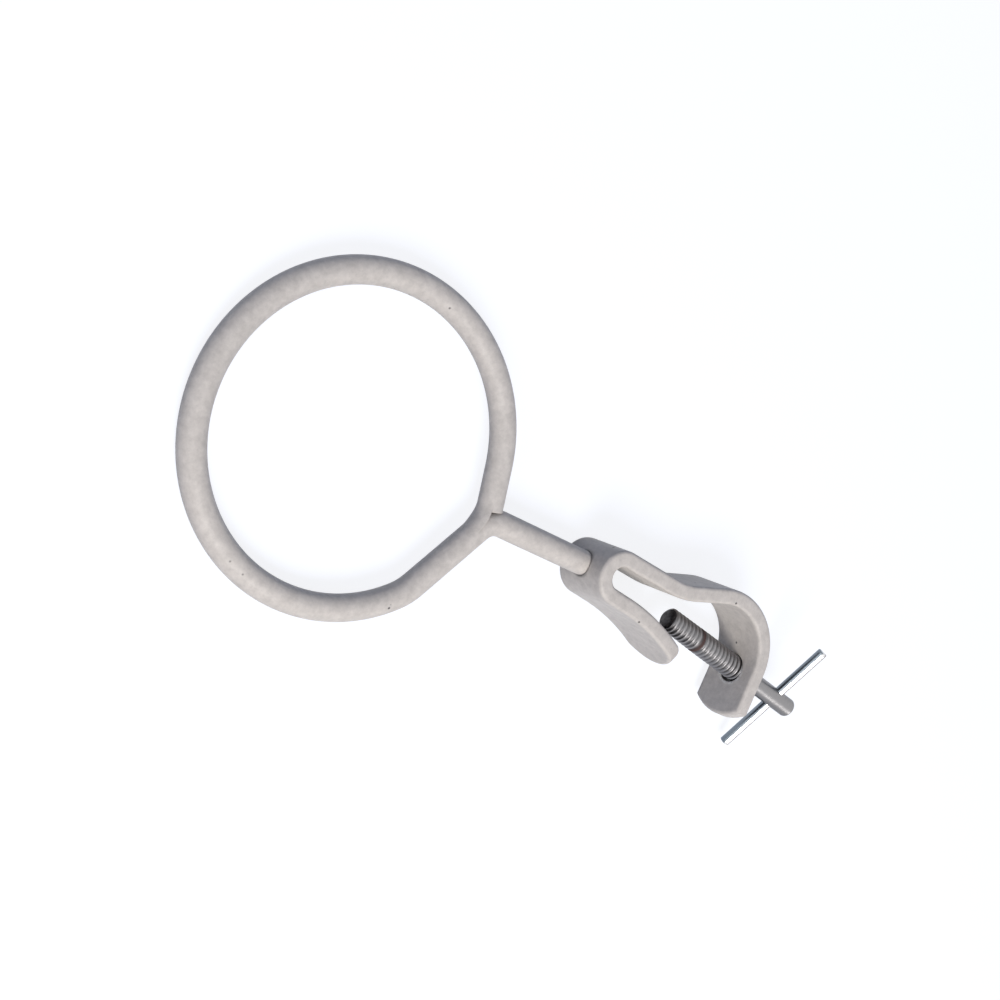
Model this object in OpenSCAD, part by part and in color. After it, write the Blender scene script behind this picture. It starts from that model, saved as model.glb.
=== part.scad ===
// Support ring clamp for a laboratory stand.
// A round bar is bent into an open ring with a straight stem. The stem is riveted to a clamp
// folded from one flat bar, and a cross-handled screw grips the stand rod in the clamp's fold.
//
// Frame: the ring's axis is Z and its centre is the origin. The stem runs along +X to the clamp.
// Units: millimetres and degrees.

/* [Ring rod] */
// Diameter of the round bar
rod_d = 8; // [6:0.5:12]
// Inside diameter of the ring
ring_id = 85.4; // [70:0.2:130]
// Distance of the stem's axis below the ring's centre
stem_drop = 3.6; // [0:0.2:6]
// Angle between the stem and the neck leg that leads into the ring
neck_bend = 60.5; // [50:0.5:75]
// Centreline radius of the tight bend at the neck
neck_r = 8; // [7:0.5:10]
// How far the neck leg cuts inside the ring's circle
neck_dip = 1.5; // [0.5:0.1:4]
// Centreline radius of the curve from the neck leg into the ring
blend_r = 20; // [12:1:30]
// Angle round the ring where its free end turns off straight towards the neck
tail_angle = 14; // [10:1:22]
// Diameter of the weld bead in the crotch of the neck
weld_d = 6.4; // [5:0.2:7.6]
// How far the weld bead stands out of the crotch
weld_out = 1; // [0.3:0.1:1.6]
// Length from the corner of the neck to the back of the clamp
stem_len = 37.8; // [25:0.2:80]

/* [Rivet joint] */
// Diameter of the stem's turned-down end, which passes through the clamp
tenon_d = 5; // [4:0.2:6]
// Diameter of the riveted head inside the fold
rivet_d = 6.6; // [6.2:0.1:7.4]
// Thickness of the riveted head at its middle
rivet_t = 1.6; // [1:0.1:2.4]
// Radial gap round the stem's shoulder in its seat
seat_gap = 0.1; // [0.05:0.05:0.2]
// Radial gap round the turned-down end in its hole, and under the riveted head
tenon_gap = 0.05; // [0.02:0.01:0.1]

/* [Clamp strip] */
// Width of the flat bar
strip_w = 21.6; // [18:0.2:30]
// Thickness of the flat bar
strip_t = 5.2; // [4:0.1:6]
// Radius of the bar's rounded long edges
edge_r = 0.8; // [0.4:0.1:1.2]
// Centreline radius of the fold
fold_r = 6.5; // [6:0.1:9]
// Angle through which the fold turns
fold_angle = 177.6; // [172:0.2:180]
// Tilt of the fold's axis, which opens the fold towards its back edge
fold_skew = 1.6; // [0:0.1:3]
// Slope of the upper leg against the stem, downwards
leg_slope = 3.8; // [0:0.2:6]
// Straight length of the upper leg
upper_len = 21.1; // [15:0.1:30]
// Centreline radius of the dip after the upper leg
dip_r = 29.5; // [20:0.5:50]
// Angle through which the dip turns upwards
dip_angle = 19.9; // [14:0.1:26]
// Straight length between the dip and the hook
rise_len = 13; // [8:0.5:20]
// Centreline radius of the hook's shoulder
shoulder_r = 22.5; // [18:0.5:28]
// Angle of the hook's shoulder
shoulder_angle = 54.6; // [45:0.2:62]
// Centreline radius of the hook's tighter part
hook_r = 19.4; // [16:0.2:24]
// Angle of the hook's tighter part
hook_angle = 52; // [45:0.2:58]
// Length of the hook's flat end
hook_end_len = 17.7; // [16:0.1:26]
// Radius of the rounded end of the hook
hook_end_r = 19; // [15.5:0.5:24]
// Straight length of the lower leg beside the fold
lower_len = 6.8; // [3:0.2:14]
// Centreline radius of the tongue, which flares away from the screw
tongue_r = 76; // [50:1:120]
// Length of the tongue along its curve
tongue_len = 33.2; // [26:0.2:42]
// Radius of the rounded end of the tongue
tongue_end_r = 12; // [11.6:0.2:20]

/* [Screw] */
// Diameter over the thread
screw_d = 8.6; // [7:0.1:10]
// Length of the threaded part
thread_len = 42.4; // [41.4:0.2:60]
// Diameter of the plain end
shank_d = 6.8; // [6:0.1:7.4]
// Length of the plain end
shank_len = 27.8; // [24:0.1:36]
// Chamfer at the screw's tip
tip_chamfer = 0.9; // [0.4:0.1:1.4]
// Distance of the screw's hole from the start of the hook's flat end
hole_from_bend = 1.3; // [0.6:0.1:5]
// Slope of the screw's axis against the stem, downwards
screw_slope = 9.2; // [5:0.2:13]
// Radial running clearance of the screw in the clamp
screw_gap = 0.06; // [0.02:0.01:0.1]
// Length of screw standing in the jaw, from the hole's middle to the tip
tip_reach = 39; // [34:0.2:41]

/* [Cross handle] */
// Diameter of the cross handle
handle_d = 3.5; // [3:0.1:4.5]
// Length of the cross handle
handle_len = 48; // [36:1:70]
// Distance of the cross handle from the end of the screw
handle_from_end = 8.7; // [6:0.1:12]
// Turn of the cross handle out of the ring's plane
handle_turn = 24; // [0:1:180]
// Radial gap round the cross handle in the screw
handle_gap = 0.02; // [0.01:0.01:0.05]
// Chamfer at the cross handle's ends
handle_chamfer = 0.3; // [0.1:0.1:0.8]

/* [Hidden] */
$fn = 64;
// Every second length of a bent bar is slim all round by this much, and laps into its neighbours
slim = 0.02;
lap = 0.05;

PAINT = [0.80, 0.78, 0.76];
STEEL = [0.55, 0.54, 0.52];
BRIGHT = [0.78, 0.79, 0.81];

// Ring: the neck leg is a straight line at this distance from the ring's centre
ring_r = (ring_id + rod_d) / 2;
leg_dist = ring_r - neck_dip;
// The corner where the neck leg's line meets the stem's axis, and the bend that rounds it
neck_x = (leg_dist - stem_drop * cos(neck_bend)) / sin(neck_bend);
neck_tangent = neck_r * tan(neck_bend / 2);
leg_dir = [cos(180 + neck_bend), sin(180 + neck_bend)];
// The blend touches the ring at join_angle and the neck leg at neck_bend - 90
join_angle = 90 + neck_bend + acos((blend_r - leg_dist) / (ring_r - blend_r));
blend_c = (ring_r - blend_r) * [cos(join_angle), sin(join_angle)];
leg_end = blend_c + blend_r * [sin(neck_bend), -cos(neck_bend)];
leg_start = [neck_x, -stem_drop] + neck_tangent * leg_dir;
tail_start = ring_r * [cos(tail_angle), sin(tail_angle)];
// The free end runs on until it meets the centreline of the tight bend
neck_c = [neck_x + neck_tangent, -stem_drop - neck_r];
tail_dir = [sin(tail_angle), -cos(tail_angle)];
tail_to_neck = neck_c - tail_start;
tail_miss = abs(tail_to_neck[0] * tail_dir[1] - tail_to_neck[1] * tail_dir[0]);
tail_len = tail_to_neck * tail_dir - sqrt(max(0, pow(neck_r, 2) - pow(tail_miss, 2)));
// The two bars' axes cross at weld_j, and the crotch lies on the line halfway between them
leg_side = [leg_dir[1], -leg_dir[0]];
tail_to_leg = ((leg_end - tail_start) * leg_side) / (tail_dir * leg_side);
weld_j = tail_start + tail_to_leg * tail_dir;
half_crotch = (neck_bend + 90 - tail_angle) / 2;
weld_at = rod_d / 2 / sin(half_crotch) + weld_out - weld_d / 2;
weld_dir = neck_bend + 180 - half_crotch;
weld_c = weld_j + weld_at * [cos(weld_dir), sin(weld_dir)];

// Clamp: the fold's axis crosses the stem's axis
fold_out_r = fold_r + strip_t / 2;
fold_in_r = fold_r - strip_t / 2;
back_x = neck_x + stem_len;
fold_x = back_x + fold_out_r;
// The stem's shoulder sits in a flat seat cut into the round back of the fold
shoulder_cut_r = rod_d / 2 + seat_gap;
seat_x = fold_x - sqrt(pow(fold_out_r, 2) - pow(shoulder_cut_r, 2));
rivet_x = fold_x - fold_in_r + rivet_t;

// Places on the strip's centreline, walked one segment at a time as [x, y, heading]
function go(p, len) = [p[0] + len * cos(p[2]), p[1] + len * sin(p[2]), p[2]];
function turn(p, r, a) =
    let (side = sign(a), h = p[2] + a)
    [p[0] - side * r * (sin(p[2]) - sin(h)), p[1] + side * r * (cos(p[2]) - cos(h)), h];
leg_top = [fold_x + fold_r * sin(leg_slope), -stem_drop + fold_r * cos(leg_slope), -leg_slope];
shoulder_at = go(turn(go(leg_top, upper_len), dip_r, dip_angle), rise_len);
hook_at = turn(turn(shoulder_at, shoulder_r, -shoulder_angle), hook_r, -hook_angle);
hole_at = go(hook_at, hole_from_bend);
tongue_angle = tongue_len / tongue_r * 180 / PI;

// Section of a flat bar with rounded edges: thickness along X, width along Y
module bar_section(t, w) {
    square([t, w - 2 * edge_r], center = true);
    square([t - 2 * edge_r, w], center = true);
    for (x = [-1, 1], y = [-1, 1])
        translate([x * (t / 2 - edge_r), y * (w / 2 - edge_r)]) circle(r = edge_r);
}

module slim_section() bar_section(strip_t - 2 * slim, strip_w - 2 * slim);

// A straight length of bar along +X. Children stand at its far end.
module straight(len, thin = false) {
    over = thin ? lap : 0;
    translate([-over, 0, 0]) rotate([90, 0, 90]) linear_extrude(len + 2 * over)
        if (thin) slim_section(); else bar_section(strip_t, strip_w);
    translate([len, 0, 0]) children();
}

// A bend of centreline radius r through angle a, to the left when a is positive.
// Children stand at its far end.
module bend(r, a, thin = true) {
    side = sign(a);
    over = thin ? lap / r * 180 / PI : 0;
    translate([0, side * r, 0]) {
        rotate([0, 0, (side > 0 ? -90 : 90 + a) - over])
            rotate_extrude(angle = abs(a) + 2 * over, $fn = 96) translate([r, 0])
            if (thin) slim_section(); else bar_section(strip_t, strip_w);
        rotate([0, 0, a]) translate([0, -side * r, 0]) children();
    }
}

// The fold is a bend whose axis is tilted about the bar's own direction
module fold_frame() {
    at_leg_top() rotate([0, 0, 180]) rotate([fold_skew, 0, 0]) translate([0, fold_r, 0])
        children();
}

module fold(t, w) {
    over = lap / fold_r * 180 / PI;
    fold_frame() rotate([0, 0, -90 - over]) rotate_extrude(angle = fold_angle + 2 * over, $fn = 96)
        translate([fold_r, 0]) rotate(fold_skew) bar_section(t, w);
}

module at_fold_end() {
    fold_frame() rotate([0, 0, fold_angle]) translate([0, -fold_r, 0])
        rotate([-fold_skew, 0, 0]) children();
}

// What is cut from a flat end to round it to radius r. It stands at the end of the bar.
module round_end_cutter(r) {
    deep = 4 * strip_t;
    rotate([90, 0, 0]) difference() {
        translate([-r, -r, -deep / 2]) cube([3 * r, 2 * r, deep]);
        translate([-r, 0, -deep]) cylinder(r = r, h = 2 * deep, $fn = 128);
    }
}

// The start of the upper leg, looking along it
module at_leg_top() {
    translate([leg_top[0], leg_top[1], 0]) rotate([0, 0, leg_top[2]]) children();
}

module upper_chain() {
    at_leg_top() straight(upper_len) bend(dip_r, dip_angle) straight(rise_len)
        bend(shoulder_r, -shoulder_angle) bend(hook_r, -hook_angle, thin = false)
        straight(hook_end_len, thin = true);
}

module lower_chain() {
    at_fold_end() difference() {
        straight(lower_len) bend(tongue_r, -tongue_angle);
        translate([lower_len, -tongue_r, 0]) rotate([0, 0, -tongue_angle])
            translate([0, tongue_r, 0]) round_end_cutter(tongue_end_r);
    }
}

// The screw's axis: its origin is at the hole's middle and +Z points out of the clamp
module at_screw() {
    translate([hole_at[0], hole_at[1], 0]) rotate([0, 0, -screw_slope]) rotate([0, 90, 0])
        children();
}

module along_x(x) {
    translate([x, -stem_drop, 0]) rotate([0, 90, 0]) children();
}

module rod_arc(c, r, from, sweep, thin = false) {
    over = thin ? lap / r * 180 / PI : 0;
    translate([c[0], c[1], 0]) rotate([0, 0, from - over])
        rotate_extrude(angle = sweep + 2 * over, $fn = 180)
        translate([r, 0]) circle(r = rod_d / 2 - (thin ? slim : 0));
}

module rod_line(from, dir, len, thin = false) {
    over = thin ? lap : 0;
    translate([from[0], from[1], 0]) rotate([0, 0, atan2(dir[1], dir[0])]) rotate([0, 90, 0])
        translate([0, 0, -over]) cylinder(r = rod_d / 2 - (thin ? slim : 0), h = len + over);
}

// One round bar: ring, neck, stem and turned-down end, with the ring's free end welded on
module ring_rod() {
    leg_len = norm(leg_start - leg_end);
    color(PAINT) {
        rod_arc([0, 0], ring_r, tail_angle, join_angle - tail_angle);
        rod_arc(blend_c, blend_r, join_angle - 360, neck_bend + 270 - join_angle, thin = true);
        rod_line(leg_end, -leg_dir, leg_len);
        rod_arc(neck_c, neck_r, 90, neck_bend, thin = true);
        rod_line(tail_start, tail_dir, tail_len, thin = true);
        weld_bead();
        along_x(neck_c[0]) cylinder(d = rod_d, h = seat_x - neck_c[0]);
        along_x(seat_x - lap) cylinder(d = tenon_d, h = rivet_x - seat_x);
        difference() {
            along_x(back_x + strip_t / 2) cylinder(d = rivet_d, h = rivet_x - back_x - strip_t / 2);
            fold(strip_t + 2 * tenon_gap, strip_w);
        }
    }
}

// Bead in the crotch, where the ring's free end runs into the neck leg
module weld_bead() {
    translate([weld_c[0], weld_c[1], 0]) sphere(d = weld_d);
}

// One flat bar folded into tongue, fold, upper leg and hook
module clamp_strip() {
    color(PAINT) difference() {
        union() {
            upper_chain();
            fold(strip_t - 2 * slim, strip_w - 2 * slim);
            lower_chain();
        }
        translate([hook_at[0], hook_at[1], 0]) rotate([0, 0, hook_at[2]])
            translate([hook_end_len, 0, 0]) round_end_cutter(hook_end_r);
        along_x(back_x - strip_t) cylinder(r = shoulder_cut_r, h = strip_t + seat_x - back_x);
        along_x(back_x) cylinder(r = tenon_d / 2 + tenon_gap, h = 2 * strip_t);
        at_screw() translate([0, 0, -2 * strip_t])
            cylinder(r = screw_d / 2 + screw_gap, h = 4 * strip_t);
    }
}

// One turned screw: threaded part, plain end and the hole for the cross handle
module clamp_screw() {
    shank_from = thread_len - tip_reach;
    handle_at = shank_from + shank_len - handle_from_end;
    color(STEEL) at_screw() difference() {
        union() {
            translate([0, 0, -tip_reach])
                cylinder(d1 = screw_d - 2 * tip_chamfer, d2 = screw_d, h = tip_chamfer);
            translate([0, 0, tip_chamfer - tip_reach])
                cylinder(d = screw_d, h = thread_len - tip_chamfer);
            translate([0, 0, shank_from - lap]) cylinder(d = shank_d, h = shank_len + lap);
        }
        translate([0, 0, handle_at]) rotate([0, 0, handle_turn]) rotate([90, 0, 0])
            cylinder(r = handle_d / 2 + handle_gap, h = 2 * screw_d, center = true);
    }
}

// A plain round bar through the screw
module cross_handle() {
    handle_at = thread_len - tip_reach + shank_len - handle_from_end;
    color(BRIGHT) at_screw() translate([0, 0, handle_at]) rotate([0, 0, handle_turn])
        rotate([90, 0, 0]) {
            cylinder(d = handle_d, h = handle_len - 2 * handle_chamfer, center = true);
            for (side = [0, 1]) mirror([0, 0, side])
                translate([0, 0, handle_len / 2 - handle_chamfer])
                    cylinder(d1 = handle_d, d2 = handle_d - 2 * handle_chamfer, h = handle_chamfer);
        }
}

ring_rod();
clamp_strip();
clamp_screw();
cross_handle();
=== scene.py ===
"""Support ring clamp for a laboratory stand: its painted bars, its weld and its steel screw.

The ring lies in the XY plane with its axis on Z, and the stem runs along +X to the clamp. Shapes
are worked out in millimetres and degrees, and go into the meshes in metres. Each bent bar is a
section carried along its centreline, and the screw is a radius given over angle and length.
"""

import bmesh
import bpy
import numpy as np
from mathutils import Matrix

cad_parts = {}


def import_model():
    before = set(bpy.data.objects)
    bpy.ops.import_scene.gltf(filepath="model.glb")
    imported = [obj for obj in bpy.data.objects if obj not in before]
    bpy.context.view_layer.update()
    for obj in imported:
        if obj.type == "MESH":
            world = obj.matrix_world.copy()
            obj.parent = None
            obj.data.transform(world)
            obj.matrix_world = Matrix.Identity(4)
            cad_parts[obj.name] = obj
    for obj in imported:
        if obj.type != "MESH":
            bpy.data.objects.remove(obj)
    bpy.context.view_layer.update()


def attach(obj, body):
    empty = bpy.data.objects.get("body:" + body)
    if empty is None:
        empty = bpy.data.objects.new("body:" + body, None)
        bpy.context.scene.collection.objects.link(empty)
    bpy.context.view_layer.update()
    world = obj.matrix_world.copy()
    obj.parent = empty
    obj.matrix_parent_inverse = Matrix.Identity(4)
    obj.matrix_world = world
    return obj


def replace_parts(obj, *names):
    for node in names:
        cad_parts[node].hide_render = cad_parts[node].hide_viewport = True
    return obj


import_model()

MM = 0.001
# Points this near each other are one, and an edge this short is none, in metres
MERGE = 2e-7
SLIVER = 1e-8

# Ring rod
ROD_D = 8
RING_ID = 85.4
STEM_DROP = 3.6
NECK_BEND = 60.5
NECK_R = 8
NECK_DIP = 1.5
BLEND_R = 20
TAIL_ANGLE = 14
# The free end's cut stands this far from where the two axes cross
TAIL_CUT = 3.3
CUT_EDGE = 0.35
STEM_LEN = 37.8
STEM_EDGE = 0.25
TENON_D = 5
RIVET_D = 6.6
RIVET_T = 1.6
SEAT_GAP = 0.1
TENON_GAP = 0.05

# Weld: how far it stands out of the crotch, how far its middle lies into the crotch from where
# the two axes cross, and over what distance its hollow grows to its full size
WELD_OUT = 1
WELD_MIDDLE = 3.0
WELD_GROWS = 2.6

# Clamp bar
STRIP_W = 21.6
STRIP_T = 5.2
EDGE_R = 1.2
FOLD_R = 6.5
FOLD_ANGLE = 177.6
FOLD_SKEW = 1.6
LEG_SLOPE = 3.8
UPPER_LEN = 21.1
DIP_R = 29.5
DIP_ANGLE = 19.9
RISE_LEN = 13
SHOULDER_R = 22.5
SHOULDER_ANGLE = 54.6
HOOK_R = 19.4
HOOK_ANGLE = 52
HOOK_END_LEN = 17.7
HOOK_END_R = 19
LOWER_LEN = 6.8
TONGUE_R = 76
TONGUE_LEN = 33.2
TONGUE_END_R = 12

# The screw's hole is worn wide on the jaw's side, mostly below the screw
HOLE_FROM_BEND = 1.3
HOLE_R = 4.8
HOLE_LOW = 0.38
HOLE_RIM = 0.35

# Screw
SCREW_D = 8.6
SCREW_SLOPE = 9.2
SCREW_GAP = 0.06
TIP_D = 8.1
TIP_CHAMFER = 0.9
# The tip's cone is worn back this much more
TIP_WORN = 0.12
TIP_REACH = 39
TIP_TAPER_LEN = 20
THREAD_PITCH = 2.0
THREAD_DEPTH = 0.55
THREAD_LEN = 42.4
RUN_OUT_SLOPE = 1.2
SHANK_D = 6.8
SHANK_LEN = 27.8
SHANK_EDGE = 0.5
# The ring of rust: where it is, how far it moves along in one radian round, and half its width
RUST_AT = -23.9
RUST_LEAN = 0.32
RUST_HALF = 0.85

# Cross handle, with a painted dark reflection along one side and a rusty line along another. Both
# are angles round it from the screw's direction
HANDLE_D = 3.5
HANDLE_LEN = 48
HANDLE_FROM_END = 8.7
HANDLE_TURN = 24
HANDLE_CHAMFER = 0.3
DARK_SIDE_AT = 165
RUST_LINE_AT = 297
RUST_LINE_HALF = 16

# The bars stay this much inside the size they are drawn to
SHY = 0.01

PAINT_COLOUR = (0.65, 0.606, 0.560)
# Near white for the paint chips, so they stand out as a painted highlight
BARE_AND_HIGHLIGHT_COLOUR = (0.93, 0.91, 0.86, 1)
# Dark for paint specks and for painted shade in creases, gaps and the bore
SPECK_AND_SHADE_COLOUR = (0.055, 0.05, 0.05, 1)
RUST_COLOUR = (0.06, 0.024, 0.018, 1)
SCREW_COLOUR = (0.50, 0.492, 0.505, 1)
# Dull steel for the screw's overall tone and for its painted shade
SCREW_DULL_AND_SHADE = (0.018, 0.017, 0.02, 1)
HANDLE_COLOUR = (0.74, 0.74, 0.75, 1)
# Blue-grey for the handle's painted dark reflection along one side
HANDLE_PAINTED_SHADE = (0.10, 0.135, 0.17, 1)


# ---------------------------------------------------------------- bent bars


def rad(degrees):
    return np.radians(degrees)


def unit(degrees):
    """The direction at this angle in the XY plane."""
    return np.array([np.cos(rad(degrees)), np.sin(rad(degrees)), 0.0])


def about_x(degrees):
    """The 4x4 matrix of a turn about X."""
    c, s = np.cos(rad(degrees)), np.sin(rad(degrees))
    return np.array([[1, 0, 0, 0], [0, c, -s, 0], [0, s, c, 0], [0, 0, 0, 1.0]])


def standing_at(point, heading):
    """The 4x4 frame at a point of the XY plane whose X looks along the heading."""
    c, s = np.cos(rad(heading)), np.sin(rad(heading))
    return np.array([[c, -s, 0, point[0]], [s, c, 0, point[1]], [0, 0, 1, 0], [0, 0, 0, 1.0]])


def along_bar(lengths, start, s):
    """Frames on a bent bar's centreline at the distances s: X along the bar, Y to its left.

    lengths is a list of (length, turn, tilt). After the share p of a length L that turns by A, the
    bar has gone (sin pA, 1 - cos pA) L / A and turned by pA, in a plane tilted about the bar's own
    direction. Every length is taken at its own share of s, from none of it to all of it, and the
    steps are multiplied in order, so a length that isn't reached yet adds nothing.
    """
    frames = np.broadcast_to(start, np.shape(s) + (4, 4))
    begun = 0.0
    for length, turn, tilt in lengths:
        gone = np.clip(s - begun, 0, length)
        angle = rad(turn) * gone / length
        radius = length / rad(turn) if turn else 0.0
        step = np.zeros(np.shape(s) + (4, 4))
        step[..., 0, 0] = step[..., 1, 1] = np.cos(angle)
        step[..., 1, 0] = np.sin(angle)
        step[..., 0, 1] = -step[..., 1, 0]
        step[..., 0, 3] = radius * np.sin(angle) if turn else gone
        step[..., 1, 3] = radius * (1 - np.cos(angle))
        step[..., 2, 2] = step[..., 3, 3] = 1
        frames = frames @ about_x(tilt) @ step @ about_x(-tilt)
        begun += length
    return frames


def bend(radius, turn, tilt=0.0):
    """One entry of a bar's lengths, a bend given by its centreline radius."""
    return (radius * abs(rad(turn)), turn, tilt)


def span(lengths):
    """How long a bar's lengths are together."""
    return sum(length for length, _, _ in lengths)


# Ring rod: centreline from the ring's free end round the ring, down the neck and along the stem
ring_r = (RING_ID + ROD_D) / 2
leg_dist = ring_r - NECK_DIP
neck_x = (leg_dist - STEM_DROP * np.cos(rad(NECK_BEND))) / np.sin(rad(NECK_BEND))
neck_tangent = NECK_R * np.tan(rad(NECK_BEND / 2))
leg_dir = unit(180 + NECK_BEND)
join_angle = 90 + NECK_BEND + np.degrees(np.arccos((BLEND_R - leg_dist) / (ring_r - BLEND_R)))
blend_c = (ring_r - BLEND_R) * unit(join_angle)
leg_end = blend_c + BLEND_R * unit(NECK_BEND - 90)
leg_start = np.array([neck_x, -STEM_DROP, 0]) + neck_tangent * leg_dir
neck_c = np.array([neck_x + neck_tangent, -STEM_DROP - NECK_R, 0])

# The free end's axis meets the leg's at weld_j, and crotch_dir halves the angle between them
tail_start = ring_r * unit(TAIL_ANGLE)
tail_dir = unit(TAIL_ANGLE - 90)
leg_side = np.array([leg_dir[1], -leg_dir[0], 0])
weld_j = tail_start + tail_dir * ((leg_end - tail_start) @ leg_side) / (tail_dir @ leg_side)
half_crotch = (NECK_BEND + 90 - TAIL_ANGLE) / 2
crotch_dir = unit(NECK_BEND + 180 - half_crotch)
cut_len = (weld_j - tail_start) @ tail_dir - TAIL_CUT

# The stem's shoulder sits in the fold's bent back, and its tenon is riveted inside the fold
fold_out_r = FOLD_R + STRIP_T / 2
fold_in_r = FOLD_R - STRIP_T / 2
fold_x = neck_x + STEM_LEN + fold_out_r
fold_at = np.array([fold_x, -STEM_DROP, 0])
seat_r = ROD_D / 2 + SEAT_GAP
seat_x = fold_x - np.sqrt(fold_out_r**2 - seat_r**2)
seat_at = np.array([seat_x, -STEM_DROP, 0])
rivet_x = fold_x - fold_in_r + RIVET_T

ROD_LENGTHS = [
    (cut_len, 0, 0),
    bend(ring_r, join_angle - TAIL_ANGLE),
    bend(BLEND_R, NECK_BEND + 270 - join_angle),
    (np.linalg.norm(leg_start - leg_end), 0, 0),
    bend(NECK_R, -NECK_BEND),
    (seat_x - neck_c[0], 0, 0),
]
rod_from = standing_at(tail_start + cut_len * tail_dir, TAIL_ANGLE + 90)

# Clamp bar: both ways from the start of the upper leg
leg_top = fold_at + FOLD_R * unit(90 - LEG_SLOPE)
UPPER_LENGTHS = [
    (UPPER_LEN, 0, 0),
    bend(DIP_R, DIP_ANGLE),
    (RISE_LEN, 0, 0),
    bend(SHOULDER_R, -SHOULDER_ANGLE),
    bend(HOOK_R, -HOOK_ANGLE),
    (HOOK_END_LEN, 0, 0),
]
LOWER_LENGTHS = [
    bend(FOLD_R, FOLD_ANGLE, FOLD_SKEW),
    (LOWER_LEN, 0, 0),
    bend(TONGUE_R, -np.degrees(TONGUE_LEN / TONGUE_R)),
]
upper_from = standing_at(leg_top, -LEG_SLOPE)
lower_from = standing_at(leg_top, 180 - LEG_SLOPE)
hook_tip = span(UPPER_LENGTHS)
tongue_tip = -span(LOWER_LENGTHS)


def on_clamp(u, v, h):
    """The point of the clamp bar u along it, v across it and h towards its outer face.

    u counts from the start of the upper leg, upwards to the hook's tip and below nothing through
    the fold to the tongue's tip. The point is the centreline's place plus h left and v up, where
    the lower lengths are walked the other way, so their left is turned round.
    """
    u, v, h = np.broadcast_arrays(u, v, h)
    up = along_bar(UPPER_LENGTHS, upper_from, np.maximum(u, 0))
    down = along_bar(LOWER_LENGTHS, lower_from, np.maximum(-u, 0))
    on_upper = (u >= 0)[..., None]
    place = np.where(on_upper, up[..., :3, 3], down[..., :3, 3])
    outwards = np.where(on_upper, up[..., :3, 1], -down[..., :3, 1])
    across = np.where(on_upper, up[..., :3, 2], down[..., :3, 2])
    return place + h[..., None] * outwards + v[..., None] * across


# The screw's axis, with its origin at the middle of its hole
hole_u = span(UPPER_LENGTHS[:-1]) + HOLE_FROM_BEND
hole_at = on_clamp(hole_u, 0.0, 0.0)
screw_dir = unit(-SCREW_SLOPE)
screw_side = unit(90 - SCREW_SLOPE)
upwards = np.array([0.0, 0.0, 1.0])


# ---------------------------------------------------------------- curves and meshes


def ramp(x, start, end):
    """Nothing up to the start, 1 from the end on, and straight between. The end may come first."""
    return np.clip((x - start) / (end - start), 0, 1)


def eased(share):
    """A share of 0..1 that leaves and arrives without a kink: 3 s^2 - 2 s^3."""
    share = np.clip(share, 0, 1)
    return share * share * (3 - 2 * share)


def band(x, middle, half):
    """1 about the middle and nothing well beyond it: exp(-((x - middle) / half)^4)."""
    return np.exp(-(((x - middle) / half) ** 4))


def quads(rows, columns):
    """The faces of a grid of points, as corner numbers. The last column joins the first."""
    r, c = np.meshgrid(np.arange(rows - 1), np.arange(columns), indexing="ij")
    n = (c + 1) % columns
    below = (r + 1) * columns
    return np.stack([r * columns + c, r * columns + n, below + n, below + c], -1)


def put(name, data, place=None):
    """A new object in the scene, in a 4x4 place, or else at the origin."""
    made = bpy.data.objects.new(name, data)
    if place is not None:
        made.matrix_world = Matrix(place.tolist())
    bpy.context.scene.collection.objects.link(made)
    return made


def piece(name, points, faces, body, material, sharp=35, layers=None):
    """Puts points in millimetres and their faces into a mesh that rides on a body.

    Points that fall together are merged, which closes seams and poles, and the faces are then
    turned outwards. layers are numbers at the points, for the material."""
    mesh = bpy.data.meshes.new(name)
    mesh.from_pydata((points.reshape(-1, 3) * MM).tolist(), [], faces.reshape(-1, 4).tolist())
    for layer, values in (layers or {}).items():
        mesh.attributes.new(layer, "FLOAT", "POINT").data.foreach_set(
            "value", np.ascontiguousarray(values, np.float32).ravel()
        )
    shape = bmesh.new()
    shape.from_mesh(mesh)
    bmesh.ops.remove_doubles(shape, verts=shape.verts, dist=MERGE)
    bmesh.ops.dissolve_degenerate(shape, edges=shape.edges, dist=SLIVER)
    bmesh.ops.recalc_face_normals(shape, faces=shape.faces)
    shape.to_mesh(mesh)
    shape.free()
    mesh.shade_smooth()
    mesh.set_sharp_from_angle(angle=rad(sharp))
    mesh.materials.append(material)
    made = put(name, mesh)
    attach(made, body)
    return made


def circle_about(columns, side, up):
    """The directions side cos a + up sin a, once round."""
    a = np.linspace(0, 2 * np.pi, columns, endpoint=False)[:, None]
    return np.cos(a) * side + np.sin(a) * up


def lathe(profile, centre, axis, side, columns=64):
    """Points of a turned shape: each (radius r, distance z) of the profile becomes the circle
    centre + z axis + r (side cos a + axis x side sin a)."""
    r, z = np.array(profile, float).T
    round_about = circle_about(columns, side, np.cross(axis, side))
    return centre + z[:, None, None] * axis + r[:, None, None] * round_about


def corner(r_from, z_from, r_to, z_to, steps=5):
    """Points of a profile's rounded corner, a quarter of an ellipse that leaves along z and
    arrives along r."""
    a = np.linspace(0, np.pi / 2, steps)
    return [(r_to + (r_from - r_to) * np.cos(t), z_from + (z_to - z_from) * np.sin(t)) for t in a]


# ---------------------------------------------------------------- finishes
#
# Scales of noise are in waves to a metre, and distances of bumps in metres. Most of a noise's
# values lie within NOISE_RANGE.

NOISE_RANGE = (0.3, 0.7)


def feed(tree, node, inputs):
    """Sets a node's inputs, by name or number, to values or joins them to other nodes' outputs."""
    for key, value in inputs.items():
        if isinstance(value, bpy.types.NodeSocket):
            tree.links.new(value, node.inputs[key])
        else:
            node.inputs[key].default_value = value


def add_node(tree, kind, inputs=None, **settings):
    """A new shader node with its settings and inputs."""
    node = tree.nodes.new("ShaderNode" + kind)
    for key, value in settings.items():
        setattr(node, key, value)
    feed(tree, node, inputs or {})
    return node


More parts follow.
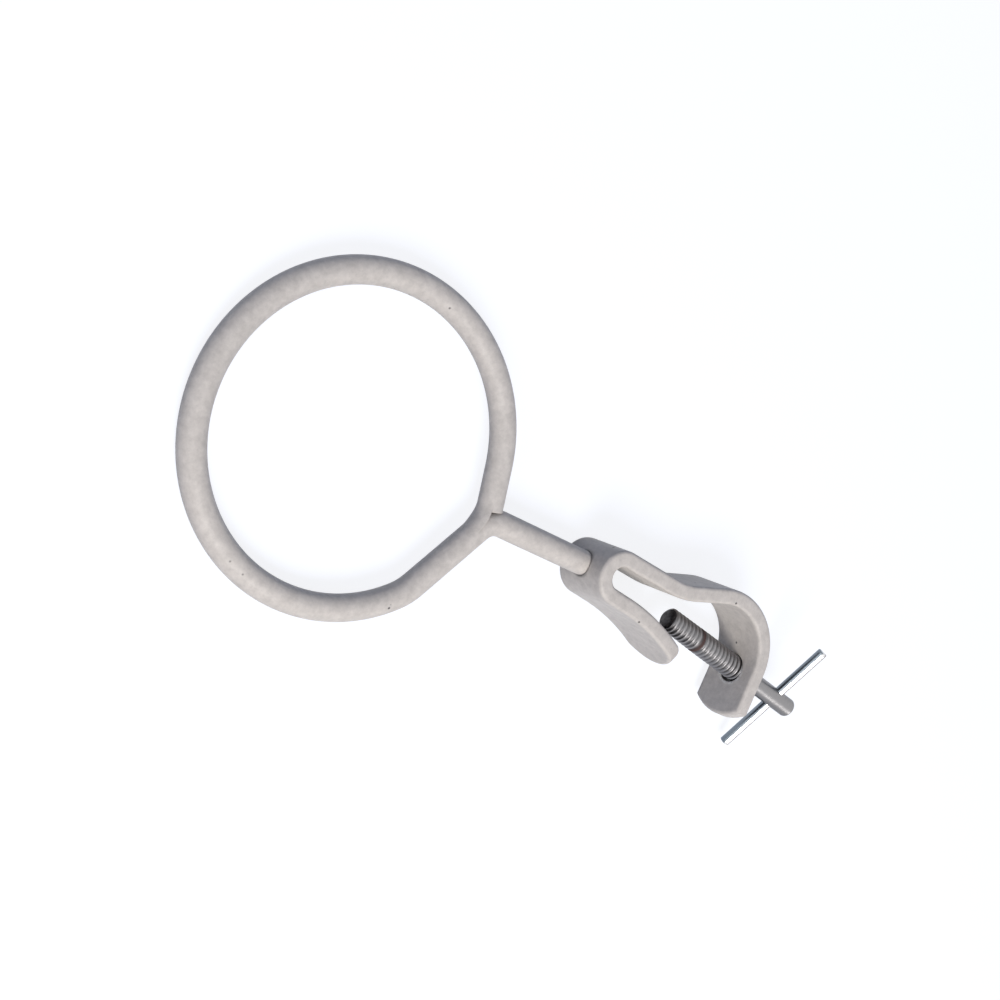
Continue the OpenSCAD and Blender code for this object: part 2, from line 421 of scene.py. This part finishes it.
class Finish:
    """A material, and the kinds of node that its shader is fed by."""

    def __init__(self, name):
        self.material = bpy.data.materials.new(name)
        self.material.use_nodes = True
        self.tree = self.material.node_tree
        self.place = self.add("TexCoord").outputs["Object"]

    def add(self, kind, inputs=None, **settings):
        return add_node(self.tree, kind, inputs, **settings)

    def noise(self, scale, detail, roughness=0.5):
        """Clouds of values from 0 to 1 on the piece's own coordinates."""
        return self.add("TexNoise", {"Vector": self.place, "Scale": scale, "Detail": detail,
                                     "Roughness": roughness}).outputs["Fac"]

    def layer(self, name):
        """The numbers of this name at the mesh's points."""
        return self.add("Attribute", attribute_name=name).outputs["Fac"]

    def maths(self, operation, first, second):
        """Two numbers multiplied, compared and so on, point by point."""
        return self.add("Math", {0: first, 1: second}, operation=operation).outputs[0]

    def carried(self, value, low, high, to_low=0.0, to_high=1.0):
        """Carries low..high over to to_low..to_high, and stays within them."""
        return self.add("MapRange", {"Value": value, "From Min": low, "From Max": high,
                                     "To Min": to_low, "To Max": to_high}).outputs["Result"]

    def mixed(self, amount, first, second):
        """The first colour with an amount of the second in it."""
        mix = self.add("Mix", {"Factor": amount}, data_type="RGBA")
        colours = [n for n, socket in enumerate(mix.inputs) if socket.type == "RGBA"]
        feed(self.tree, mix, dict(zip(colours, (first, second))))
        return next(socket for socket in mix.outputs if socket.type == "RGBA")

    def done(self, inputs):
        """Feeds the shader and gives the material."""
        feed(self.tree, self.tree.nodes["Principled BSDF"], inputs)
        return self.material


def painted(name, colour):
    """Sprayed and baked enamel: an uneven skin with a fine orange peel and a few dark specks.

    The specks are the middles of a few of the cells of a honeycomb. One point layer darkens the
    paint with painted shade in creases, gaps and the bore, and another lets the bare metal through
    in chips where the peel's noise is high, coloured near white as a painted highlight."""
    finish = Finish(name)
    peel = finish.noise(1100.0, 3.0, 0.6)
    runs = finish.noise(210.0, 2.0)
    clouds = finish.noise(420.0, 4.0, 0.7)
    tone = finish.carried(clouds, *NOISE_RANGE, 0.86, 1.09)
    base = finish.add("VectorMath", {0: colour, "Scale": tone}, operation="SCALE")

    cells = finish.add("TexVoronoi", {"Vector": finish.place, "Scale": 420.0})
    dot = finish.carried(cells.outputs["Distance"], 0.10, 0.22, 1.0, 0.0)
    draw = finish.add("SeparateColor", {"Color": cells.outputs["Color"]}).outputs["Red"]
    speck = finish.maths("MULTIPLY", dot, finish.maths("GREATER_THAN", draw, 0.955))
    # The specks and the painted shade of the point layer darken the paint alike
    dirt_and_shade = finish.maths("MAXIMUM", speck, finish.layer("grime_and_shade"))
    soiled_and_shaded = finish.mixed(dirt_and_shade, base.outputs["Vector"], SPECK_AND_SHADE_COLOUR)
    chips = finish.maths("MULTIPLY", finish.carried(peel, 0.40, 0.50), finish.layer("worn_and_lit"))

    coarse = finish.add("Bump", {"Height": runs, "Strength": 0.5, "Distance": 0.0003})
    fine = finish.add("Bump", {"Height": peel, "Strength": 0.7, "Distance": 0.00009,
                               "Normal": coarse.outputs["Normal"]})
    return finish.done({
        "Base Color": finish.mixed(chips, soiled_and_shaded, BARE_AND_HIGHLIGHT_COLOUR),
        "Normal": fine.outputs["Normal"],
        "Roughness": 0.45,
        "Specular IOR Level": 0.3,
    })


def turned_steel(name, colour, dull_and_shade, roughness, scale):
    """Bright turned steel, a little uneven in patches of the scale.

    One point layer mixes in the dull colour, for the steel's duller tone and for painted shade, and
    the layer named rust a dark rusty brown that is rough and barely metallic."""
    finish = Finish(name)
    patches = finish.noise(scale, 4.0, 0.6)

    def patchy(low, high):
        return finish.carried(patches, *NOISE_RANGE, low, high)

    def laid_over(below, layer, least, above):
        amount = finish.maths("MULTIPLY", patchy(least, 1.0), finish.layer(layer))
        return finish.mixed(amount, below, above)

    soiled_and_shaded = laid_over(colour, "grime_and_shade", 0.88, dull_and_shade)
    rust = finish.layer("rust")
    clean_roughness = patchy(roughness * 0.8, roughness * 1.25)
    return finish.done({
        "Base Color": laid_over(soiled_and_shaded, "rust", 0.99, RUST_COLOUR),
        "Roughness": finish.carried(rust, 0.0, 1.0, clean_roughness, 0.85),
        "Metallic": finish.carried(rust, 0.0, 1.0, 1.0, 0.1),
    })


rod_paint = painted("rod_enamel", PAINT_COLOUR)
strip_paint = painted("clamp_enamel", PAINT_COLOUR)
screw_steel = turned_steel("screw_steel", SCREW_COLOUR, SCREW_DULL_AND_SHADE, 0.34, 900.0)
handle_steel = turned_steel("handle_steel", HANDLE_COLOUR, HANDLE_PAINTED_SHADE, 0.22, 60.0)


# ---------------------------------------------------------------- ring rod and weld


def cut_painted_shade(points):
    """Painted shade in the crease at the free end's square cut and its rim.

    It is full from 0.02 mm before the cut's plane and nothing 0.12 mm before it. It is also full
    only between 0.5 mm outside the crossing of the axes and 2.2 mm into the crotch, and fades
    over the next 1 to 2 mm."""
    past = (points - tail_start) @ tail_dir - cut_len
    towards_crotch = (points - weld_j) @ crotch_dir
    open_side = ramp(towards_crotch, 3.4, 2.2) * ramp(towards_crotch, -2.5, -0.5)
    on_cut = ramp(past, -0.12, -0.02) * (past < 0.02)
    return 0.95 * on_cut * open_side


def rim(s, radius):
    """How far a rounded rim stands in at the distance s from a bar's end: that of a quarter
    circle, r - sqrt(r^2 - (r - s)^2)."""
    return radius - np.sqrt(np.maximum(0, radius**2 - np.maximum(0, radius - s) ** 2))


def ring_rod():
    """The round bar: circles of the bar's radius stood on its centreline, with a rounded rim at
    the free end's cut and at the stem's shoulder, and the tenon turned on the stem's end."""
    columns = 64
    bend_from, bend_to = span(ROD_LENGTHS[:4]), span(ROD_LENGTHS[:5])
    # the circles lie closest round the cut's rim and the tight bend
    s = np.unique(
        np.concatenate([
            CUT_EDGE * (1 - np.cos(np.linspace(0, np.pi / 2, 6))),
            np.linspace(0.5, cut_len, 24),
            np.linspace(cut_len, bend_from, 420),
            np.linspace(bend_from, bend_to, 30),
            np.linspace(bend_to, span(ROD_LENGTHS), 40),
        ])
    )
    stand = along_bar(ROD_LENGTHS, rod_from, s)[:, None, :3]
    centre, left, up = stand[..., 3], stand[..., 1], stand[..., 2]
    radius = ROD_D / 2 - SHY - (rim(s[-1] - s, STEM_EDGE) + rim(s, CUT_EDGE))
    r = radius[:, None, None]
    a = np.linspace(0, 2 * np.pi, columns, endpoint=False)[:, None]
    body = centre + r * np.cos(a) * left + r * np.sin(a) * up
    start_cap = np.broadcast_to(centre[0], (1, columns, 3))
    tenon_end = rivet_x - RIVET_T - seat_x
    tenon = lathe([(TENON_D / 2, 0), (TENON_D / 2, tenon_end), (0, tenon_end)],
                  seat_at, unit(0), unit(90), columns)
    points = np.concatenate([start_cap, body, tenon])
    return piece("ring_bar", points, quads(len(points), columns), "holder", rod_paint,
                 layers={"grime_and_shade": cut_painted_shade(points)})


def gap_to_line(points, start, end):
    """Distance from the round bar's surface to points, for a straight bar between two places."""
    along = end - start
    share = np.clip((points - start) @ along / (along @ along), 0, 1)
    return np.linalg.norm(points - start - share[..., None] * along, axis=-1) - ROD_D / 2


def gap_to_neck(points):
    """Distance to the surface of the leg, the tight bend and the stem together. The bend's
    centreline is a circle about neck_c, from 90 to 90 + NECK_BEND."""
    leg = gap_to_line(points, leg_end, leg_start)
    stem = gap_to_line(points, neck_c + NECK_R * unit(90), seat_at)
    out = points - neck_c
    heading = np.degrees(np.arctan2(out[..., 1], out[..., 0]))
    on_bend = (heading > 90) & (heading < 90 + NECK_BEND)
    arc = np.hypot(np.hypot(out[..., 0], out[..., 1]) - NECK_R, out[..., 2]) - ROD_D / 2
    return np.where(on_bend, arc, np.minimum(leg, stem))


def weld_fillet():
    """The painted-over weld in the crotch between the free end and the leg, a closed shape given
    by its reach in every direction from a place between the two bars' axes.

    With a and b the distances to the free end's and the neck's surfaces, the weld's surface is
    where min(a, b) - max(k - |a - b|, 0)^2 / 4k is nothing. That is the bars' own surface, with a
    hollow of size k drawn between them. k grows with the distance into the crotch, and where it
    is small the surface is sunk under the bars. The reach is found by halving between the middle
    and a cap inside the bars, which is far off into the crotch and near on its other side."""
    rows, columns, halvings = 170, 240, 26
    least_hollow, full_hollow = 0.05, 4 * WELD_OUT * np.sin(rad(half_crotch))
    least_sunk, more_sunk = 0.02, 0.6
    near_cap, far_cap = 3.0, 8.5
    tilt = np.linspace(-np.pi / 2, np.pi / 2, rows)[:, None]
    turn = np.linspace(0, 2 * np.pi, columns, endpoint=False)[None, :]
    way = np.stack([np.cos(tilt) * np.cos(turn), np.cos(tilt) * np.sin(turn),
                    np.sin(tilt) * np.ones_like(turn)], -1)
    middle = weld_j + WELD_MIDDLE * crotch_dir

    def field(reach):
        p = middle + reach[..., None] * way
        side = eased((p - weld_j) @ crotch_dir / WELD_GROWS)
        sunk = least_sunk + more_sunk * (1 - side)
        a, b = gap_to_line(p, tail_start, weld_j) + sunk, gap_to_neck(p) + sunk
        k = least_hollow + full_hollow * side
        return np.minimum(a, b) - np.maximum(k - np.abs(a - b), 0) ** 2 / (4 * k)

    low = np.zeros(way.shape[:2])
    high = near_cap + (far_cap - near_cap) * eased(ramp(way @ crotch_dir, -0.3, 0.3))
    for _ in range(halvings):
        half_way = (low + high) / 2
        inside = field(half_way) < 0
        low, high = np.where(inside, half_way, low), np.where(inside, high, half_way)
    points = middle + low[..., None] * way
    return piece("weld_fillet", points, quads(rows, columns), "holder", rod_paint,
                 sharp=60)


def rivet_head():
    """The stem's riveted end inside the fold, a turned disc with a rounded rim. Its foot is sunk
    into the bar."""
    columns, sunk, rim_high, rim_wide = 48, 1.2, 0.7, 0.9
    foot, r = -RIVET_T - sunk, RIVET_D / 2
    profile = [(0, foot), (r, foot)] + corner(r, -rim_high, r - rim_wide, 0) + [(0, 0)]
    points = lathe(profile, np.array([rivet_x, -STEM_DROP, 0]), unit(0), unit(90), columns)
    return piece("rivet_head", points, quads(len(points), columns), "holder",
                 rod_paint)


# ---------------------------------------------------------------- clamp bar

FACE_STEPS = 24
EDGE_STEPS = 5
TIP_STEPS = 14
SIDE_STEPS = 181
LEAD_STEPS = 5

# The stem's seat and the screw's hole. reach is how far the gap in the bar's faces goes from the
# hole's middle, along and across. outer and inner list its circles from either face inwards, as
# (radius, depth under the face, how far below the axis), and floor those on the seat's floor.
tight_r = SCREW_D / 2 + SCREW_GAP
STEM_SEAT = dict(
    u=-FOLD_R * rad(FOLD_ANGLE) / 2, reach=(6.0, 6.4), centre=fold_at, axis=unit(0),
    outer=[(seat_r + 0.2, 0.0, 0), (seat_r + 0.05, 0.06, 0), (seat_r, 0.2, 0)],
    inner=[(TENON_D / 2 + TENON_GAP, 0.0, 0)],
    floor=[seat_r, TENON_D / 2 + TENON_GAP],
)
SCREW_HOLE = dict(
    u=hole_u, reach=(6.6, 6.6), centre=hole_at, axis=screw_dir,
    outer=[(tight_r + 0.45, 0.0, 0), (tight_r + 0.12, 0.1, 0), (tight_r, 0.4, 0)],
    inner=[(HOLE_R + HOLE_RIM, 0.0, HOLE_LOW), (HOLE_R + 0.1, 0.1, HOLE_LOW),
           (HOLE_R, 0.4, HOLE_LOW)],
    floor=[],
)


def plan_edge(inset, share):
    """The clamp bar's outline in its own flat plan, inset by a distance: (u, half width).

    share runs 0..1 round the tongue's end arc, 1..2 along the straight sides and 2..3 round the
    hook's end arc. An arc of radius R about a centre R back from the tip gives
    u = centre -+ (R - inset) cos a and v = (R - inset) sin a, up to the angle where v meets the
    side at W/2 - inset."""
    side = STRIP_W / 2 - SHY - inset

    def arc(radius, tip, sign, part):
        r = radius - inset
        angle = part * np.arcsin(np.minimum(side / r, 1))
        return tip - sign * radius + sign * r * np.cos(angle), r * np.sin(angle)

    low_u, low_v = arc(TONGUE_END_R, tongue_tip, -1, np.clip(share, 0, 1))
    high_u, high_v = arc(HOOK_END_R, hook_tip, 1, np.clip(3 - share, 0, 1))
    low_end, _ = arc(TONGUE_END_R, tongue_tip, -1, 1.0)
    high_end, _ = arc(HOOK_END_R, hook_tip, 1, 1.0)
    straight_u = low_end + (high_end - low_end) * np.clip(share - 1, 0, 1)
    u = np.where(share <= 1, low_u, np.where(share >= 2, high_u, straight_u))
    v = np.where(share <= 1, low_v, np.where(share >= 2, high_v, side + 0 * share))
    return u, v


def bar_section():
    """One loop round the clamp bar's section: its inset from the outline, its height, and its
    share of the half width.

    It goes over the outer face, down one long edge, back over the inner face and up the other
    edge. An edge is a quarter circle of radius EDGE_R at each face, with a flat between them."""
    across = np.linspace(-1, 1, FACE_STEPS + 1)
    a = np.linspace(0, np.pi / 2, EDGE_STEPS + 1)[1:]
    flat_high = STRIP_T / 2 - EDGE_R
    round_inset = EDGE_R * (1 - np.sin(a))
    round_height = STRIP_T / 2 - EDGE_R * (1 - np.cos(a))
    flat = np.linspace(flat_high, -flat_high, 4)[1:-1]
    edge_inset = np.concatenate([round_inset, 0 * flat, round_inset[::-1]])
    edge_height = np.concatenate([round_height, flat, -round_height[::-1]])
    on_face, on_edge = np.ones_like(across), np.ones_like(edge_inset)
    inset = np.concatenate([EDGE_R * on_face, edge_inset] * 2)
    height = np.concatenate([STRIP_T / 2 * on_face, edge_height])
    share = np.concatenate([across, on_edge])
    return inset, np.concatenate([height, -height]), np.concatenate([share, -share])


def meet(centre, look, radius, angle, u, v, h):
    """Where a round hole's edge lies on the clamp bar at the height h: the (u, v) whose point,
    seen along the hole's axis as the two directions of look, stands radius from the centre at
    the angle. Newton's steps from the guess (u, v), with the slopes taken over a small step."""
    step, turns = 1e-4, 7
    want = radius * np.stack([np.cos(angle), np.sin(angle)], -1)
    for _ in range(turns):
        here = (on_clamp(u, v, h) - centre) @ look
        du = ((on_clamp(u + step, v, h) - centre) @ look - here) / step
        dv = ((on_clamp(u, v + step, h) - centre) @ look - here) / step
        miss = want - here
        size = du[..., 0] * dv[..., 1] - du[..., 1] * dv[..., 0]
        u = u + (miss[..., 0] * dv[..., 1] - miss[..., 1] * dv[..., 0]) / size
        v = v + (du[..., 0] * miss[..., 1] - du[..., 1] * miss[..., 0]) / size
    return u, v


def gap_for(hole, u, v):
    """The rows and columns of the outer face that a hole's gap takes, as (r0, r1, c0, c1)."""
    face_u = u[:, FACE_STEPS // 2]
    r0 = np.argmin(np.abs(face_u - (hole["u"] - hole["reach"][0])))
    r1 = np.argmin(np.abs(face_u - (hole["u"] + hole["reach"][0])))
    face_v = v[(r0 + r1) // 2, : FACE_STEPS + 1]
    c0 = np.argmin(np.abs(face_v + hole["reach"][1]))
    return r0, r1, c0, FACE_STEPS - c0


def through_hole(hole, loop_u, loop_v):
    """Rings of points from a gap's border on the outer face to the hole's rim, through the bar
    and out to the gap's border on the inner face.

    A ring under a face is where a circle about the hole's axis meets the bar at that depth. The
    rings before the first of them lie at even shares of the way from the border to it. Each point
    keeps the angle round the hole at which its border point lies."""
    a_bit = 0.01
    here, further = on_clamp(np.array([hole["u"], hole["u"] + a_bit]), 0.0, 0.0)
    ahead = further - here
    ahead = ahead - (ahead @ hole["axis"]) * hole["axis"]
    ahead /= np.linalg.norm(ahead)
    upright = np.cross(hole["axis"], ahead)
    if upright[2] < 0:
        upright = -upright
    look = np.stack([ahead, upright], -1)
    angle = np.arctan2(loop_v, loop_u - hole["u"])

    def on_side(side, steps):
        run = []
        for radius, deep, low in steps:
            level = side * (STRIP_T / 2 - deep)
            guess = hole["u"] + radius * np.cos(angle), radius * np.sin(angle)
            centre = hole["centre"] - low * screw_side
            hit_u, hit_v = meet(centre, look, radius, angle, *guess, level)
            if not run:
                part = np.linspace(0, 1, LEAD_STEPS + 1)[:-1, None]
                run.extend(on_clamp(loop_u + (hit_u - loop_u) * part,
                                    loop_v + (hit_v - loop_v) * part, level))
            run.append(on_clamp(hit_u, hit_v, level))
        return run

    round_about = np.cos(angle)[:, None] * ahead + np.sin(angle)[:, None] * upright
    floor = [seat_at + radius * round_about for radius in hole["floor"]]
    return np.array(on_side(1, hole["outer"]) + floor + on_side(-1, hole["inner"])[::-1])


def from_screw_axis(points):
    """Where points lie about the worn hole's axis: how far along it, off it, and above it."""
    away = points - hole_at + HOLE_LOW * screw_side
    along = away @ screw_dir
    off = np.linalg.norm(away - along[..., None] * screw_dir, axis=-1)
    return along, off, away @ screw_side


def seat_and_bore_painted_shade(points):
    """Painted shade in a line round the stem's seat, exp(-((r - seat) / 0.3 mm)^2), in the gap
    where the stem goes in, and over the screw hole's bare wall, inside the bore."""
    away = points - fold_at
    from_stem = np.hypot(away[:, 1], away[:, 2])
    at_back = away[:, 0] < -FOLD_R
    seat = np.exp(-((from_stem - seat_r) / 0.3) ** 2) * at_back
    along, off, _ = from_screw_axis(points)
    wall_r = np.where(along > 0, tight_r + 0.2, HOLE_R + 0.05)
    wall = (off < wall_r) & (np.abs(along) < STRIP_T)
    return np.maximum(0.7 * seat, 0.85 * wall)


def hole_wear_and_highlight(points):
    """How far the paint is chipped off on the jaw's side, in a collar round the hole that fades
    outwards and upwards. The chips are coloured near white as a painted highlight."""
    along, off, above = from_screw_axis(points)
    collar = ramp(off, HOLE_R + 0.05, HOLE_R + 0.15) * ramp(off, HOLE_R + 1.2, HOLE_R + 0.5)
    return collar * ramp(above, 1.5, -1.0) * (along < 0) * (along > -4)


def clamp_bar():
    """One flat bar with rounded edges, carried along its bent centreline, with the stem's seat
    and the screw's hole let into it.

    Each row is the section's loop, drawn at one share of the outline. At both tips the loop's
    two halves fall together, and merging doubles closes the ends. Over a hole the faces are left
    out, and rings of points lead from the gap's border through the bar."""
    inset, height, of_half = bar_section()
    tip = np.sin(np.linspace(0, np.pi / 2, TIP_STEPS + 1))[:-1]
    share = np.concatenate([tip, np.linspace(1, 2, SIDE_STEPS + 1), (3 - tip)[::-1]])
    u, half = plan_edge(inset[None, :], share[:, None])
    v = half * of_half
    inner_face = len(inset) // 2
    grid_faces = quads(*u.shape)
    kept = np.ones(grid_faces.shape[:2], bool)
    points, patches, count = [on_clamp(u, v, height).reshape(-1, 3)], [], u.size
    for hole in (STEM_SEAT, SCREW_HOLE):
        r0, r1, c0, c1 = gap_for(hole, u, v)
        kept[r0:r1, c0:c1] = False
        kept[r0:r1, inner_face + c0 : inner_face + c1] = False
        rows = np.concatenate([np.arange(r0, r1), np.full(c1 - c0, r1),
                               np.arange(r1, r0, -1), np.full(c1 - c0, r0)])
        columns = np.concatenate([np.full(r1 - r0, c0), np.arange(c0, c1),
                                  np.full(r1 - r0, c1), np.arange(c1, c0, -1)])
        rings = through_hole(hole, u[rows, columns], v[rows, columns])
        patches.append(count + quads(*rings.shape[:2]).reshape(-1, 4))
        points.append(rings.reshape(-1, 3))
        count += len(points[-1])
    points = np.concatenate(points)
    faces = np.concatenate([grid_faces[kept]] + patches)
    return piece("clamp_bar", points, faces, "holder", strip_paint, sharp=38,
                 layers={"grime_and_shade": seat_and_bore_painted_shade(points), "worn_and_lit": hole_wear_and_highlight(points)})


# ---------------------------------------------------------------- screw and handle

# Along the screw's axis from its hole: the tip, the thread's end and the plain end
tip_z = -TIP_REACH
thread_z = tip_z + THREAD_LEN
shank_z = thread_z + SHANK_LEN


def crest_r(z):
    """The thread's outside radius, which grows over the first part from the tip."""
    return (TIP_D + (SCREW_D - TIP_D) * ramp(z, tip_z, tip_z + TIP_TAPER_LEN)) / 2


def thread_r(z, a):
    """The threaded part's radius over length z and angle a.

    It is the crest's radius less the depth times a wave of z / pitch - a / 2 pi. The wave is flat
    at the crest and the root, with straight flanks between that are eased at both ends. The
    radius is held under a cone at the tip and under one where the thread runs out."""
    steepness, root_flat = 4.2, 0.62
    phase = (z / THREAD_PITCH - a / (2 * np.pi)) % 1.0
    height = eased(steepness * np.abs(phase - 0.5) - root_flat)
    tip_cone = SCREW_D / 2 - TIP_CHAMFER - TIP_WORN + (z - tip_z)
    end_cone = SHANK_D / 2 + (thread_z - z) * RUN_OUT_SLOPE
    threaded = np.minimum(crest_r(z) - THREAD_DEPTH * (1 - height), tip_cone)
    return np.minimum(threaded, np.maximum(end_cone, SHANK_D / 2))


def on_thread(z):
    """Whether a length lies on the threaded part and its run-out, not on the plain end."""
    return z < thread_z + 0.2


def screw_tone_and_painted_shade(z, a, r):
    """How dark the steel is: a dull tone all over, and painted shade on the thread, more in the
    hollows by their share of the depth and a little more underneath. On the plain end painted shade
    on its two flanks. The tip's face is painted dark as shade."""
    all_thread, in_hollow, below = 0.48, 0.34, 0.15
    all_plain, on_flank = 0.44, 0.46
    bright_crest, turned_by, face_depth = 0.15, 0.2, 0.3
    hollow = np.clip((crest_r(z) - bright_crest - r) / THREAD_DEPTH, 0, 1)
    under = np.clip(-np.cos(a + turned_by), 0, 1) ** 3
    flanks = np.abs(np.cos(a)) ** 3
    thread = all_thread + in_hollow * hollow + below * under
    grime_and_shade = np.where(on_thread(z), thread, all_plain + on_flank * flanks)
    return np.where(z < tip_z + face_depth, 1.0, grime_and_shade)


def screw_rust(z, a):
    """How rusty the thread is, in one leaning ring round it: exp(-((z - lean a - at) / half)^4)."""
    return 0.95 * band(z - a * RUST_LEAN, RUST_AT, RUST_HALF) * on_thread(z)


def clamp_screw():
    """The screw: circles stood on its axis, with the threaded radius up to the thread's end and
    then a plain end with a rounded rim."""
    columns, per_turn = 72, 18
    a = np.linspace(0, 2 * np.pi, columns, endpoint=False)[None, :]
    z = np.linspace(tip_z, thread_z, int(THREAD_LEN / THREAD_PITCH * per_turn))[:, None]
    rim_z, shank_r = shank_z - SHANK_EDGE, SHANK_D / 2
    plain = [(shank_r, t) for t in np.linspace(thread_z, rim_z, 30)[1:]]
    plain += corner(shank_r, rim_z, shank_r - 0.45, shank_z)[1:]
    plain += [(shank_r - 2, shank_z), (0, shank_z)]
    plain_r, plain_z = np.array(plain).T[:, :, None]
    r = np.concatenate([np.zeros((1, columns)), thread_r(z, a),
                        np.broadcast_to(plain_r, (len(plain), columns))])
    z = np.concatenate([[[tip_z]], z, plain_z]) + 0 * a
    points = hole_at + z[..., None] * screw_dir
    points = points + r[..., None] * circle_about(columns, screw_side, upwards)
    return piece("grip_screw", points, quads(len(r), columns), "screw", screw_steel,
                 sharp=50, layers={"grime_and_shade": screw_tone_and_painted_shade(z, a, r), "rust": screw_rust(z, a)})


def cross_handle():
    """Plain round bar through the screw's end, a turned profile with chamfered ends.

    It has a painted dark reflection along one side, where cos(angle - that side's angle) is over
    0.1, in full from 0.45, and is rusty in a line, exp(-((angle - RUST_LINE_AT) /
    RUST_LINE_HALF)^4)."""
    columns = 64
    half, r, slope = HANDLE_LEN / 2, HANDLE_D / 2, HANDLE_CHAMFER
    axis = np.cos(rad(HANDLE_TURN)) * screw_side + np.sin(rad(HANDLE_TURN)) * upwards
    one_end = [(0, -half), (r - slope, -half), (r - 0.08, -half + slope * 0.5), (r, -half + slope)]
    length = [(r, t) for t in np.linspace(-half + slope, half - slope, 60)[1:-1]]
    profile = one_end + length + [(pr, -pz) for pr, pz in one_end[::-1]]
    at = hole_at + (shank_z - HANDLE_FROM_END) * screw_dir
    points = lathe(profile, at, axis, screw_dir, columns)
    angle = np.arange(columns) / columns * 2 * np.pi
    # Painted dark reflection along one side of the handle
    painted_dark_side = 0.9 * ramp(np.cos(angle - rad(DARK_SIDE_AT)), 0.1, 0.45)
    rust = 0.9 * band(angle, rad(RUST_LINE_AT), rad(RUST_LINE_HALF))
    shape = points.shape[:2]
    return piece("cross_bar", points, quads(*shape), "screw", handle_steel,
                 sharp=30, layers={"grime_and_shade": np.broadcast_to(painted_dark_side, shape),
                                   "rust": np.broadcast_to(rust, shape)})


bar = ring_rod()
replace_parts(bar, "ring_rod")
weld_fillet()
rivet_head()
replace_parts(clamp_bar(), "clamp_strip")
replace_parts(clamp_screw(), "clamp_screw")
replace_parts(cross_handle(), "cross_handle")


# ---------------------------------------------------------------- floor, light and camera

# name, the direction it stands in, distance, size, watts and colour
LAMPS = (
    ("key", (-0.07, -0.55, 0.83), 900, 420, 6.5, (1.0, 0.962, 0.92)),
    ("left", (-0.75, -0.15, 0.55), 1000, 400, 1.2, (1.0, 0.98, 0.96)),
    ("right", (0.75, -0.50, 0.35), 1000, 300, 0.9, (1.0, 0.97, 0.93)),
    ("back", (0.25, 0.9, 0.22), 1100, 450, 0.7, (1.0, 0.98, 0.96)),
)
LIT_AT = np.array([75.0, -5.0, 0.0])
SOFT_LIGHT = (0.49, 0.62, 0.95, 1)
SOFT_STRENGTH = 0.235
TABLE_COLOUR = (0.19, 0.22, 0.29, 1)
TABLE_GLOW = 0.86
WHITE = (1, 1, 1, 1)


def seen_directly(tree):
    """1 on the camera's rays and on those that gloss or glass sends on, else nothing."""
    rays = add_node(tree, "LightPath").outputs
    total = rays["Is Camera Ray"]
    for kind in ("Is Glossy Ray", "Is Transmission Ray"):
        both = {0: total, 1: rays[kind]}
        total = add_node(tree, "Math", both, operation="ADD", use_clamp=True).outputs[0]
    return total


def table_white():
    """A plain dull blue-grey that glows to the camera and in gloss. The floor looks white there,
    under its shadows, and throws little light back at the part."""
    material = bpy.data.materials.new("table_white")
    material.use_nodes = True
    tree = material.node_tree
    tree.nodes.clear()
    level = {0: seen_directly(tree), 1: TABLE_GLOW}
    strength = add_node(tree, "Math", level, operation="MULTIPLY").outputs[0]
    diffuse = add_node(tree, "BsdfDiffuse", {"Color": TABLE_COLOUR})
    glow = add_node(tree, "Emission", {"Strength": strength})
    both = add_node(tree, "AddShader", {0: diffuse.outputs[0], 1: glow.outputs[0]})
    add_node(tree, "OutputMaterial", {"Surface": both.outputs[0]})
    return material


def floor():
    """A flat table under the part. It touches the ring's far side and the clamp's back edge, so
    it leans a little against the ring's plane: its height is -(drop + lean . (x, y))."""
    middle, reach, drop, lean = (70, 0), 4000.0, 6.50, (0.0473, 0.0227)
    corners = np.array([[-1, -1], [1, -1], [1, 1], [-1, 1]]) * reach + middle
    height = -(drop + corners @ lean)
    mesh = bpy.data.meshes.new("table_top")
    mesh.from_pydata((np.column_stack([corners, height]) * MM).tolist(), [], [(0, 1, 2, 3)])
    mesh.materials.append(table_white())
    made = put("table_top", mesh)


def standing(axes, point):
    """The 4x4 place of an object with these axes at a point in millimetres."""
    place = np.eye(4)
    place[:3, :3] = np.column_stack(axes)
    place[:3, 3] = np.array(point) * MM
    return place


def lamp(name, way, distance, size, watts, colour):
    """A square soft lamp that looks at the middle of the part from the direction way."""
    way = np.array(way) / np.linalg.norm(way)
    side = np.cross(way, [0.0, 1.0, 0.0])
    side /= np.linalg.norm(side)
    light = bpy.data.lights.new(name, "AREA")
    light.shape = "SQUARE"
    light.size = size * MM
    light.energy = watts
    light.color = colour
    put(name, light, standing([np.cross(side, way), side, way], LIT_AT + way * distance))


def camera():
    """The camera stands off the ring's far side and looks down at the part."""
    right = (0.74995, 0.40630, 0.52201)
    up = (-0.36303, 0.91248, -0.18867)
    back = (-0.55298, -0.04801, 0.83181)
    lens = bpy.data.cameras.new("camera")
    lens.sensor_width = 36.0
    lens.lens = 46.8
    lens.clip_start, lens.clip_end = 0.01, 50
    eye = put("camera", lens, standing([right, up, back], (-161.91, -15.65, 319.47)))
    bpy.context.scene.camera = eye


def world():
    """Cool soft light from all round, and white where the camera or gloss sees past the floor."""
    sky = bpy.data.worlds.new("studio")
    bpy.context.scene.world = sky
    sky.use_nodes = True
    tree = sky.node_tree
    tree.nodes.clear()
    soft = add_node(tree, "Background", {"Color": SOFT_LIGHT, "Strength": SOFT_STRENGTH})
    white = add_node(tree, "Background", {"Color": WHITE, "Strength": 1.0})
    seen = seen_directly(tree)
    mix = add_node(tree, "MixShader", {"Fac": seen, 1: soft.outputs[0], 2: white.outputs[0]})
    add_node(tree, "OutputWorld", {"Surface": mix.outputs[0]})


floor()
world()
for one in LAMPS:
    lamp(*one)
camera()
bpy.context.scene.view_settings.view_transform = "Standard"
